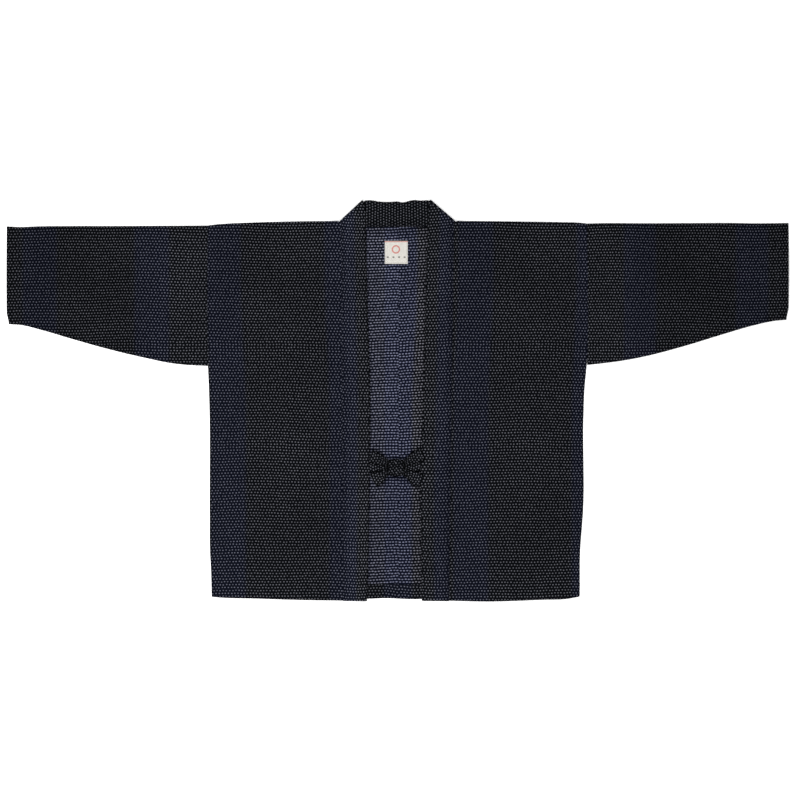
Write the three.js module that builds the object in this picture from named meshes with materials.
// A short haori jacket laid out flat with its front up, in millimetres.
// +X is to the right of someone looking down at it, +Y runs from the hem to the neck and +Z is up.
// The origin is on the surface that it lies on, under the middle of the garment.
// Every piece of cloth is a thin wall built round a middle surface, which a function works out.

import * as THREE from "three";

// Cloth and seams
const CLOTH = 1.2; // wall of one ply
const GAP = 0.3; // air between pieces that are sewn or lie together
const PLY = CLOTH + GAP; // from the middle of one ply to the next that lies on it
const FLOOR_PLY = CLOTH / 2; // middle of the ply that lies on the surface
const FOLD = PLY / 2; // radius of a flat fold, at the middle of the wall
const TUCK = 7; // seam allowance held between the two plies of the collar
const TURN_UP = 26; // depth of the hem turned up inside

// The garment
const HALF_SPAN = 683.4; // centre back to cuff
const UNDERARM = 62; // height of the underarm point
const HEM_Y = -350; // the hem at the collars
const NECK_Y = 300; // where the collar seam starts to turn to the neck
const BACK_SEAM = 2; // place of the centre back seam
const CUFF_BEVEL = 3.5; // how far the cuff's lower corner leans in
const CUFF_CORNER = 22; // height of that lean
const ARM_PUFF = 1.5; // air between the plies at the middle of the armhole
const CUFF_PUFF = 2; // and of the cuff
const BODY_PUFF = 2.3; // and of the fronts
const SIDE_REACH = 110; // how far in from the side the fronts reach their full puff
const SHOULDER_REACH = 60; // and how far down from the shoulder
const HEM_SLOPE = { start: 3, end: 60 }; // the fronts come down this far above a turned-up hem
const SEAM_REACH = 80; // how far from the collar the fronts lie free of its level
const SHOULDER_SEAM_REACH = 26; // and at the shoulder

// The collar band: folded lengthwise, its free edge is the fold
const BAND = 47; // width
const BAND_RISE = PLY; // half the distance between the middles of its two plies
const BAND_PILLOW = 1.1; // how far its outer ply stands up along the middle
const MITRE = 2.25; // radius of the fold at each side of the neck, at the band's middle
const NECK_SEAM = 303.6; // height of the seam between the band and the back
const NECK_TUCK = NECK_SEAM + TUCK;
const NECK_RISE = { start: 14, end: 1 }; // how far below the seam the back rises into the band
const LEG_LEVEL = FLOOR_PLY + PLY + BAND_RISE; // middle of the band where it lies on the back
const NECK_LEVEL = FLOOR_PLY + BAND_RISE; // and where it runs behind the neck
const MITRE_TOP = NECK_LEVEL + 2 * MITRE; // and where it lies on itself
const LEG_CLIMB = { start: 70, end: 2 }; // how far below the neck seam the band climbs on itself
const NECK_SIDE = 106; // from the centre to where the shoulder seam starts to round over
const NECK_FADE = 14; // width over which the back comes down again beside the neck
const NECK_HALF = 50; // half of the straight seam behind the neck

// Where the collar band runs on each side, as distances from the centre line
const COLLAR = {
  left: { seamHem: 95.4, seamNeck: 98.6, corner: [59, 347.4] },
  right: { seamHem: 90.2, seamNeck: 98.6, corner: [55, 348] },
};
const MITRE_SEAM = [98.5, 310.5]; // outer end of the fold line, at the seam
const LEAN = 331; // height from which the free edge leans out to the fold

// The collar's free edge, as distances from the centre line: the tie draws it in
const FREE_EDGE = [
  { y: -350, left: 53.8, right: 42.8 },
  { y: -293, left: 52.4, right: 42.6 },
  { y: -235, left: 51.2, right: 42 },
  { y: -175, left: 50.4, right: 41 },
  { y: -60, left: 48.6, right: 43.6 },
  { y: 60, left: 49.4, right: 46.8 },
  { y: 130, left: 52, right: 48.4 },
  { y: 200, left: 54, right: 49.4 },
  { y: 300, left: 56.4, right: 53.6 },
];

// The hem of the fronts, from left to right
const HEM = [
  { x: -326, y: -343.2 },
  { x: -310, y: -344.6 },
  { x: -249, y: -346.4 },
  { x: -180, y: -348.6 },
  { x: -92, y: -350 },
  { x: -46, y: -350.6 },
  { x: 44, y: -349.7 },
  { x: 90, y: -350.2 },
  { x: 153, y: -351.6 },
  { x: 249, y: -348.7 },
  { x: 300, y: -346.4 },
  { x: 319, y: -342.8 },
];

// The hem of the backs, which shows between the collars and lies a little higher
const BACK_HEM = [
  { x: -326, y: -341.5 },
  { x: -180, y: -346.4 },
  { x: -92, y: -347.4 },
  { x: -46, y: -346.9 },
  { x: -20, y: -346 },
  { x: 8, y: -347.1 },
  { x: 28, y: -347.8 },
  { x: 44, y: -347.4 },
  { x: 92, y: -347.9 },
  { x: 153, y: -349.7 },
  { x: 249, y: -346.4 },
  { x: 319, y: -340.8 },
];

// The shoulder line, from left to right
const SHOULDER = [
  { x: -332, y: 306.2 },
  { x: -322, y: 307.5 },
  { x: -300, y: 309.4 },
  { x: -258, y: 311.2 },
  { x: -188, y: 313.2 },
  { x: -110, y: 314.1 },
  { x: 110, y: 314.1 },
  { x: 197, y: 313.3 },
  { x: 284, y: 312 },
  { x: 318, y: 311 },
  { x: 331, y: 309.8 },
];

// The body's side edges, as distances from the centre line
const SIDE = [
  { y: -352, left: 324.2, right: 317.6 },
  { y: -300, left: 325.6, right: 317.8 },
  { y: -270, left: 327.4, right: 318.6 },
  { y: -190, left: 328.1, right: 324.2 },
  { y: -30, left: 328.3, right: 324.6 },
  { y: 20, left: 329.6, right: 326.5 },
  { y: UNDERARM, left: 331.4, right: 330.4 },
  { y: 360, left: 331.4, right: 330.4 },
];

// The sleeves' top and bottom edges, by the distance out from the armhole
const SLEEVE_TOP = [
  { out: 0, left: 306.2, right: 309.6 },
  { out: 30, left: 305.9, right: 310.2 },
  { out: 90, left: 305.6, right: 310 },
  { out: 170, left: 305.2, right: 310.2 },
  { out: 250, left: 305.2, right: 310.5 },
  { out: 300, left: 304.6, right: 309.8 },
  { out: 326, left: 303.5, right: 310.1 },
  { out: 352, left: 304.6, right: 310.4 },
];
const SLEEVE_BOTTOM = [
  { out: 0, left: 61, right: 62.6 },
  { out: 32, left: 62.4, right: 66 },
  { out: 66, left: 66, right: 70.8 },
  { out: 101, left: 73.2, right: 77.6 },
  { out: 171, left: 89.6, right: 96 },
  { out: 241, left: 109.2, right: 117.4 },
  { out: 290, left: 123.6, right: 131.6 },
  { out: 325, left: 132.2, right: 139.2 },
  { out: 352, left: 134, right: 141.6 },
];

// The upper edge of the band behind the neck, which the seam puckers a little
const BAND_TOP = [
  { x: -64, y: 347.6 },
  { x: -46, y: 347.9 },
  { x: -24, y: 346.8 },
  { x: 4, y: 347.7 },
  { x: 22, y: 347 },
  { x: 40, y: 348.6 },
  { x: 58, y: 348.6 },
];

// The tie: a flat tube of the same cloth, tied in a bow between the collars
const KNOT = { x: -2.6, y: -117.5, width: 28, height: 31, low: 1.7, high: 10.7 };
const TIE = 1.6; // wall of the flattened tube
const LOOP_FOLD = 1.5; // radius of a loop's outer fold
const SQUARE_AT = 0.6; // share of its length where a piece lies square to its run
const WIDE_AT = 0.75; // and where it has its full width
const LEVEL_TO = 0.35; // and up to which it stays at the level of its root
// Each end or loop leaves the knot at root and reaches end, relative to the knot's middle.
// An arm has no x at its end, because it runs to the collar's free edge, where it is sewn on.
const BOW = [
  {
    name: "tie_arm_left",
    side: "left",
    root: { x: -14.3, y: 0.5, z: 2.9, width: 11 },
    end: { y: 1.4, z: 3.3, width: 17.5 },
  },
  {
    name: "tie_arm_right",
    side: "right",
    root: { x: 14.3, y: 1, z: 2.9, width: 11 },
    end: { y: 3.6, z: 3.3, width: 17.5 },
  },
  {
    name: "tie_loop_left",
    loop: true,
    root: { x: -14.3, y: 8.2, z: 4.9, width: 12.5 },
    end: { x: -43.6, y: 20.4, z: 7, width: 22 },
  },
  {
    name: "tie_loop_right",
    loop: true,
    root: { x: 14.3, y: 8.6, z: 4.9, width: 12.5 },
    end: { x: 44.6, y: 23.4, z: 7.1, width: 22 },
  },
  {
    name: "tie_tail_left",
    root: { x: -14.3, y: -8.4, z: 5.6, width: 12.5 },
    end: { x: -40.6, y: -22.5, z: 7.2, width: 24 },
  },
  {
    name: "tie_tail_right",
    root: { x: 14.3, y: -8.4, z: 5.6, width: 12.5 },
    end: { x: 42.9, y: -23.4, z: 7.4, width: 24 },
  },
];

// The woven label inside the back of the neck
const LABEL = { x: -2.2, y: 259, width: 40, height: 40, wall: 1 };

// Colours of the cloth, seen from a step away
const BLACK = "#202126";
const NAVY = "#222533";
const INSIDE = "#33353d";
const TIE_BLACK = "#1c1d20";
const LABEL_WHITE = "#e6e4dd";

// Helpers

const mix = (a, b, t) => a + (b - a) * t;

// 0 before start, 1 after end and straight between them, either way round.
const share = (start, end, at) => THREE.MathUtils.clamp((at - start) / (end - start), 0, 1);

// The same with a soft step between them.
function step(start, end, at) {
  const t = share(start, end, at);
  return t * t * (3 - 2 * t);
}

// Reads a column of a table at a value of its key, straight between the rows.
function read(table, key, column, at) {
  const last = table.length - 1;
  let row = 0;
  while (row < last - 1 && table[row + 1][key] < at) row += 1;
  const from = table[row];
  const to = table[row + 1];
  return mix(from[column], to[column], share(from[key], to[key], at));
}

// Values from start to end, both counted.
const spread = (start, end, steps) =>
  Array.from({ length: steps + 1 }, (_, i) => mix(start, end, i / steps));

// A closed wall of the given thickness round the grid of middle points that place(i, j) gives.
// keep(i, j) says whether the cell between lines i and i + 1, and j and j + 1, is cloth.
function clothWall(columns, rows, place, thickness = CLOTH, keep = () => true) {
  const middle = [];
  for (let i = 0; i <= columns; i += 1) {
    middle.push([]);
    for (let j = 0; j <= rows; j += 1) middle[i].push(place(i, j));
  }
  const along = (i, j) =>
    middle[Math.min(i + 1, columns)][j].clone().sub(middle[Math.max(i - 1, 0)][j]);
  // At the first and last row the curve of the section is followed on to its edge.
  const across = (i, j) => {
    const line = middle[i];
    if (j > 0 && j < rows) return line[j + 1].clone().sub(line[j - 1]);
    const inward = j === 0 ? 1 : -1;
    const edge = line[j + inward].clone().multiplyScalar(4);
    edge.addScaledVector(line[j], -3).sub(line[j + 2 * inward]);
    return edge.multiplyScalar(inward);
  };

  const positions = [];
  const used = new Map();
  const faces = [];
  // The number of the point on one side of the wall, made when it is first asked for.
  const point = (i, j, side) => {
    const key = `${i},${j},${side}`;
    if (!used.has(key)) {
      const normal = along(i, j).cross(across(i, j)).normalize();
      const at = middle[i][j].clone().addScaledVector(normal, (side * thickness) / 2);
      used.set(key, positions.length / 3);
      positions.push(at.x, at.y, at.z);
    }
    return used.get(key);
  };
  const quad = (a, b, c, d) => faces.push(a, b, c, a, c, d);
  const cloth = (i, j) => i >= 0 && j >= 0 && i < columns && j < rows && keep(i, j);
  // The rim between two neighbouring points of an edge, seen from outside.
  const rim = (from, to) =>
    quad(point(...from, -1), point(...to, -1), point(...to, 1), point(...from, 1));

  for (let i = 0; i < columns; i += 1) {
    for (let j = 0; j < rows; j += 1) {
      if (!cloth(i, j)) continue;
      const ring = [
        [i, j],
        [i + 1, j],
        [i + 1, j + 1],
        [i, j + 1],
      ];
      quad(...ring.map((at) => point(...at, 1)));
      quad(...ring.reverse().map((at) => point(...at, -1)));
      if (!cloth(i, j - 1)) rim([i, j], [i + 1, j]);
      if (!cloth(i + 1, j)) rim([i + 1, j], [i + 1, j + 1]);
      if (!cloth(i, j + 1)) rim([i + 1, j + 1], [i, j + 1]);
      if (!cloth(i - 1, j)) rim([i, j + 1], [i, j]);
    }
  }
  const geometry = new THREE.BufferGeometry();
  geometry.setAttribute("position", new THREE.Float32BufferAttribute(positions, 3));
  geometry.setIndex(faces);
  geometry.computeVertexNormals();
  return geometry;
}

// Outlines and levels

const sideName = (x) => (x < 0 ? "left" : "right");
const hemAt = (x) => read(HEM, "x", "y", x);
const backHemAt = (x) => read(BACK_HEM, "x", "y", x);
const shoulderAt = (x) => read(SHOULDER, "x", "y", x);
const sideAt = (side, y) => read(SIDE, "y", side, y);

// Distance of the collar seam from the centre line.
function seamAt(side, y) {
  const { seamHem, seamNeck } = COLLAR[side];
  return mix(seamHem, seamNeck, share(HEM_Y, NECK_Y, y));
}

// Distance of the collar's free edge from the centre line: it leans out just below the fold.
function freeAt(side, y) {
  const { corner } = COLLAR[side];
  return mix(read(FREE_EDGE, "y", side, y), corner[0], step(LEAN, corner[1], y));
}

// Height of the seam behind the neck: it climbs to the shoulder on each side.
const neckSeamAt = (x) => mix(NECK_SEAM, MITRE_SEAM[1], step(NECK_HALF, MITRE_SEAM[0], Math.abs(x)));

// Level of the collar's middle on the fronts: up over the back's hem and over itself at the neck.
function legLevel(y) {
  const overHem = 1 - step(HEM_SLOPE.start, HEM_SLOPE.end, y - HEM_Y - TURN_UP);
  const overNeck = step(LEG_CLIMB.start, LEG_CLIMB.end, NECK_SEAM - y);
  return LEG_LEVEL + PLY * overHem + (MITRE_TOP - LEG_LEVEL) * overNeck;
}

// Level of the back: on the surface, but for the edge held in the collar behind the neck.
function backLevel(x, y) {
  const seam = neckSeamAt(x);
  const held = step(NECK_RISE.start, NECK_RISE.end, seam - y);
  const near = 1 - step(NECK_SIDE, NECK_SIDE + NECK_FADE, Math.abs(x));
  return mix(FLOOR_PLY, NECK_LEVEL, held * near);
}

// Level of the fronts: on the back at the side and shoulder, with a little air between,
// up over both turned-up hems, and up to the middle of the collar along its seam.
function frontLevel(x, y) {
  const side = sideName(x);
  const out = Math.abs(x);
  const inward = sideAt(side, y) - out;
  const below = shoulderAt(x) - y;
  const armhole = share(UNDERARM, shoulderAt(x) - CLOTH, y);
  const nearSide = 1 - step(0, SIDE_REACH, inward);
  const puff =
    ARM_PUFF * Math.sin(Math.PI * armhole) * nearSide +
    BODY_PUFF * (1 - nearSide) * step(0, SHOULDER_REACH, below);
  const overHem = 1 - step(HEM_SLOPE.start, HEM_SLOPE.end, y - hemAt(x) - TURN_UP);
  const free = mix(FLOOR_PLY + PLY + puff, FLOOR_PLY + 3 * PLY, overHem);
  const reach = mix(SHOULDER_SEAM_REACH, SEAM_REACH, step(0, SHOULDER_REACH, below));
  return mix(legLevel(y), free, step(0, reach, out - seamAt(side, y)));
}

// Body panels

// The rows of a panel, from the inner edge of its turned-up hem round the fold,
// up the panel and over the shoulder.
const PANEL_ROWS = [
  ...spread(1, 0, 1).map((t) => ({ zone: "turn", t })),
  ...[45, 90, 135].map((angle) => ({ zone: "fold", angle })),
  ...[0, 0.02, 0.04, 0.07, 0.11].map((t) => ({ zone: "panel", t })),
  ...spread(0.18, 0.88, 9).map((t) => ({ zone: "panel", t })),
  ...[0.91, 0.94, 0.965, 0.985, 1].map((t) => ({ zone: "panel", t })),
  ...[0.5, 1].map((t) => ({ zone: "neck", t })),
  { zone: "edge" },
  ...[40, 78].map((angle) => ({ zone: "shoulder", angle })),
];
const FIRST_PANEL_ROW = PANEL_ROWS.findIndex(({ zone }) => zone === "panel");
const FIRST_SHOULDER_ROW = PANEL_ROWS.findIndex(({ zone }) => zone === "shoulder");

// One point of a panel. outward(y) gives its x at a height. up is 1 on the fronts, whose hem
// turns under them, and -1 on the backs, whose hem turns up over them.
function panelPoint({ row, outward, level, other, up, hem }) {
  const x = outward(0);
  const fold = hem(x) + FOLD + CLOTH / 2;
  const radius = Math.abs(level(x, shoulderAt(x)) - other(x, shoulderAt(x))) / 2;
  const curl = shoulderAt(x) - radius - CLOTH / 2;
  const top = Math.abs(x) < NECK_SIDE ? Math.min(NECK_TUCK, curl) : curl;
  const neckSeam = Math.min(neckSeamAt(x), top - GAP);
  const risen = neckSeam - NECK_RISE.end;
  const rising = neckSeam - NECK_RISE.start;
  const turned = (rounded) => level(outward(rounded), rounded) - up * 2 * FOLD;
  if (row.zone === "turn") {
    const y = mix(fold, hem(x) + TURN_UP, row.t);
    return new THREE.Vector3(outward(y), y, turned(y));
  }
  if (row.zone === "fold") {
    const angle = THREE.MathUtils.degToRad(row.angle);
    const y = fold - FOLD * Math.sin(angle);
    const middle = level(outward(fold), fold) - up * FOLD;
    return new THREE.Vector3(outward(y), y, middle - up * FOLD * Math.cos(angle));
  }
  if (row.zone !== "shoulder") {
    const heights = {
      panel: mix(fold, rising, row.t),
      neck: mix(rising, risen, row.t),
      edge: top,
    };
    const y = heights[row.zone];
    return new THREE.Vector3(outward(y), y, level(outward(y), y));
  }
  const angle = THREE.MathUtils.degToRad(row.angle);
  const y = top + radius * Math.sin(angle);
  const middle = level(x, top) - up * radius;
  return new THREE.Vector3(outward(y), y, middle + up * radius * Math.cos(angle));
}

// Lines up a panel from the neck's side to the garment's side, as distances from the centre.
const outerLines = (side) => [
  () => NECK_SIDE,
  () => NECK_SIDE + 16,
  ...spread(0, 1, 6)
    .slice(1)
    .map((t) => (y) => mix(NECK_SIDE + 16, sideAt(side, y) - GAP / 2, t)),
];

// The backs: from the centre seam to the side, with a line at the end of the shoulder seam.
function backPanel(side) {
  const sign = side === "left" ? -1 : 1;
  const toNeck = spread(0, 1, 5).slice(0, -1);
  const lines = [
    ...toNeck.map((t) => () => mix(sign * BACK_SEAM + GAP / 2, NECK_SIDE, t)),
    ...outerLines(side),
  ];
  const place = (i, j) =>
    panelPoint({
      row: PANEL_ROWS[j],
      outward: (y) => sign * lines[i](y),
      level: backLevel,
      other: frontLevel,
      up: -1,
      hem: backHemAt,
    });
  const keep = (i, j) => j < FIRST_SHOULDER_ROW - 1 || i >= toNeck.length;
  return wallFacing(sign, lines.length - 1, PANEL_ROWS.length - 1, place, keep);
}

// The fronts: from the edge held in the collar to the side.
function frontPanel(side) {
  const sign = side === "left" ? -1 : 1;
  const lines = [
    (y) => seamAt(side, y) - TUCK,
    (y) => seamAt(side, y) + GAP,
    ...outerLines(side),
  ];
  const place = (i, j) =>
    panelPoint({
      row: PANEL_ROWS[j],
      outward: (y) => sign * lines[i](y),
      level: frontLevel,
      other: backLevel,
      up: 1,
      hem: hemAt,
    });
  // The edge in the collar has no turned-up hem, and the shoulder rounds over past the neck.
  const keep = (i, j) =>
    (i > 0 || j >= FIRST_PANEL_ROW) && (i > 1 || j < FIRST_SHOULDER_ROW - 1);
  return wallFacing(sign, lines.length - 1, PANEL_ROWS.length - 1, place, keep);
}

// A wall whose grid runs to the right or, mirrored, to the left.
function wallFacing(sign, columns, rows, place, keep, thickness = CLOTH) {
  if (sign > 0) return clothWall(columns, rows, place, thickness, keep);
  const mirrored = (i, j) => place(columns - i, j);
  const kept = keep && ((i, j) => keep(columns - 1 - i, j));
  return clothWall(columns, rows, mirrored, thickness, kept);
}

// Sleeves: one piece folded along the top, sewn along its lower edge, open at the cuff

const SLEEVE_ROWS = [
  ...spread(0, 1, 6).map((t) => ({ zone: "under", t })),
  ...[45, 90, 135].map((angle) => ({ zone: "fold", angle })),
  ...spread(1, 0, 8).map((t) => ({ zone: "over", t })),
];

function sleeve(side) {
  const sign = side === "left" ? -1 : 1;
  const stations = [0, 0.05, ...spread(0.12, 0.88, 9), 0.95, 1];
  const armhole = sideAt(side, UNDERARM) + GAP / 2;
  const length = HALF_SPAN - armhole;
  const place = (i, j) => {
    const t = stations[i];
    const out = t * length;
    const row = SLEEVE_ROWS[j];
    const low = read(SLEEVE_BOTTOM, "out", side, out);
    const fold = read(SLEEVE_TOP, "out", side, out) - FOLD - CLOTH / 2;
    const puff = mix(ARM_PUFF, CUFF_PUFF, t) * Math.sin(Math.PI * (row.t ?? 1));
    const at = (y, z) => {
      const corner = step(CUFF_CORNER, 0, y - low) * step(0.9, 1, t);
      return new THREE.Vector3(sign * (armhole + out - CUFF_BEVEL * corner), y, z);
    };
    if (row.zone === "under") return at(mix(low, fold, row.t), FLOOR_PLY);
    if (row.zone === "over") return at(mix(low, fold, row.t), FLOOR_PLY + PLY + puff);
    const angle = THREE.MathUtils.degToRad(row.angle);
    return at(fold + FOLD * Math.sin(angle), FLOOR_PLY + FOLD * (1 - Math.cos(angle)));
  };
  // The grid's normal points out of the tube when the stations run to the left.
  return wallFacing(-sign, stations.length - 1, SLEEVE_ROWS.length - 1, place);
}

// Collar

// The band's section as (width from the seam, height above its middle, pillow), from the
// outer ply's sewn edge round the free edge to the inner ply's sewn edge.
const BAND_SECTION = [
  ...spread(0, 1, 4).map((t) => ({ t, rise: 1, pillow: Math.sin(Math.PI * t) })),
  ...[45, 0, -45].map((angle) => ({ angle })),
  ...spread(1, 0, 2).map((t) => ({ t, rise: -1, pillow: 0 })),
].map(({ t, rise, pillow, angle }) => {
  if (angle === undefined) return { w: t * (BAND - BAND_RISE), n: rise * BAND_RISE, pillow };
  const turn = THREE.MathUtils.degToRad(angle);
  const w = BAND - BAND_RISE + BAND_RISE * Math.cos(turn);
  return { w, n: BAND_RISE * Math.sin(turn), pillow: 0 };
});

// The band from the hem up one side, under itself at the neck and to the centre back.
// Each station gives the point at a width from the seam and a height above the band's middle.
function bandStations(side) {
  const sign = side === "left" ? -1 : 1;
  const [seamOut, seamUp] = MITRE_SEAM;
  const [cornerOut, cornerUp] = COLLAR[side].corner;
  const run = new THREE.Vector2(cornerOut - seamOut, cornerUp - seamUp).normalize();
  const outward = new THREE.Vector2(run.y, -run.x);
  const seamHem = hemAt(sign * seamAt(side, HEM_Y));
  const freeHem = hemAt(sign * freeAt(side, HEM_Y));
  const leg = [...spread(0, 0.12, 4), ...spread(0.2, 0.8, 7), ...spread(0.84, 1, 7)].map(
    (t) =>
      ({ w, n, pillow }) => {
        const v = w / BAND;
        const seamY = mix(seamHem, seamUp, t);
        const freeY = mix(freeHem, cornerUp, t);
        const y = mix(seamY, freeY, v);
        const x = mix(seamAt(side, seamY), freeAt(side, freeY), v);
        const swell = pillow * BAND_PILLOW * (1 - step(0.85, 1, t));
        return new THREE.Vector3(sign * x, y, legLevel(y) + n + swell);
      },
  );
  const centre = (NECK_LEVEL + MITRE_TOP) / 2;
  const bend = [30, 60, 90, 120, 150].map((degrees) => ({ w, n }) => {
    const turn = THREE.MathUtils.degToRad(degrees);
    const v = w / BAND;
    const reach = (MITRE + n) * Math.sin(turn);
    return new THREE.Vector3(
      sign * (mix(seamOut, cornerOut, v) + outward.x * reach),
      mix(seamUp, cornerUp, v) + outward.y * reach,
      centre + (MITRE + n) * Math.cos(turn),
    );
  });
  const neck = spread(0, 1, 7).map((t) => ({ w, n }) => {
    const v = w / BAND;
    const x = sign * mix(mix(seamOut, cornerOut, v), 0, t);
    const seamY = mix(seamUp, NECK_SEAM, step(0, 0.5, t));
    const freeY = mix(cornerUp, read(BAND_TOP, "x", "y", x), step(0, 0.3, t));
    return new THREE.Vector3(x, mix(seamY, freeY, v), NECK_LEVEL - n);
  });
  return [...leg, ...bend, ...neck];
}

function collarBand() {
  const left = bandStations("left");
  const right = bandStations("right").reverse().slice(1);
  const stations = [...left, ...right];
  const place = (i, j) => stations[i](BAND_SECTION[j]);
  return wallFacing(-1, stations.length - 1, BAND_SECTION.length - 1, place);
}

// Tie

// How far an arm reaches from the centre line, to lie against the collar's free edge.
const armReach = (side, y) => freeAt(side, y) - CLOTH / 2 - GAP;

// A tie end, or a loop that folds back over itself: its width is pinched at the knot.
function tiePiece({ root, end, loop, side: collarSide }) {
  const away = Math.sign(root.x);
  const endAt = (y) => end.x ?? away * armReach(collarSide, KNOT.y + y) - KNOT.x;
  const reach = spread(0, 1, 6);
  const stations = reach.map((t) => ({ t, lift: 0 }));
  if (loop) {
    for (const degrees of [45, 90, 135]) {
      const turn = THREE.MathUtils.degToRad(degrees);
      stations.push({ t: 1, lift: 1 - Math.cos(turn), past: Math.sin(turn) });
    }
    stations.push(...reach.reverse().map((t) => ({ t, lift: 2 })));
  }
  const direction = new THREE.Vector2(endAt(end.y) - root.x, end.y - root.y).normalize();
  // Each is cut along the knot's side, so it turns from upright to square with its own run.
  // An arm stays upright, because it is cut along the collar too.
  const upright = new THREE.Vector2(0, away);
  const square = end.x ? new THREE.Vector2(-direction.y, direction.x) : upright;
  const across = spread(-0.5, 0.5, 4);
  const place = (i, j) => {
    const { t, lift, past = 0 } = stations[i];
    const side = upright.clone().lerp(square, step(0, SQUARE_AT, t)).normalize();
    const width = mix(root.width, end.width, step(0, WIDE_AT, t)) * across[j];
    const y = mix(root.y, end.y, t) + side.y * width + direction.y * past * LOOP_FOLD;
    return new THREE.Vector3(
      KNOT.x + mix(root.x, endAt(y), t) + side.x * width + direction.x * past * LOOP_FOLD,
      KNOT.y + y,
      mix(root.z, end.z, step(LEVEL_TO, 1, t)) + lift * LOOP_FOLD,
    );
  };
  return clothWall(stations.length - 1, across.length - 1, place, loop ? CLOTH : TIE);
}

// The knot: a flat rounded pad with upright sides where the ends and loops go in.
function knot() {
  const bevel = 2.4;
  const corner = 7;
  const right = KNOT.width / 2 - bevel;
  const top = KNOT.height / 2 - bevel;
  const outline = new THREE.Shape();
  outline.absarc(right - corner, top - corner, corner, 0, Math.PI / 2);
  outline.absarc(corner - right, top - corner, corner, Math.PI / 2, Math.PI);
  outline.absarc(corner - right, corner - top, corner, Math.PI, 1.5 * Math.PI);
  outline.absarc(right - corner, corner - top, corner, 1.5 * Math.PI, 2 * Math.PI);
  outline.closePath();
  const geometry = new THREE.ExtrudeGeometry(outline, {
    depth: KNOT.high - KNOT.low - 2 * bevel,
    bevelThickness: bevel,
    bevelSize: bevel,
    bevelSegments: 3,
    curveSegments: 4,
  });
  return geometry.translate(KNOT.x, KNOT.y, KNOT.low + bevel);
}

// Label: a flat square on the inside of the back.
function label() {
  const low = FLOOR_PLY + CLOTH / 2 + GAP;
  const place = (i, j) =>
    new THREE.Vector3(
      LABEL.x + (i / 4 - 0.5) * LABEL.width,
      LABEL.y + (j / 4 - 0.5) * LABEL.height,
      low + LABEL.wall / 2,
    );
  return clothWall(4, 4, place, LABEL.wall);
}

// Assembly

const haori = new THREE.Group();

function add(name, geometry, color) {
  const material = new THREE.MeshStandardMaterial({ color, roughness: 0.92, metalness: 0 });
  const mesh = new THREE.Mesh(geometry, material);
  mesh.name = name;
  haori.add(mesh);
}

for (const side of ["left", "right"]) {
  add(`back_${side}`, backPanel(side), INSIDE);
  add(`front_${side}`, frontPanel(side), BLACK);
  add(`sleeve_${side}`, sleeve(side), BLACK);
}
add("collar", collarBand(), NAVY);
for (const piece of BOW) add(piece.name, tiePiece(piece), TIE_BLACK);
add("tie_knot", knot(), TIE_BLACK);
add("label", label(), LABEL_WHITE);

export default haori;
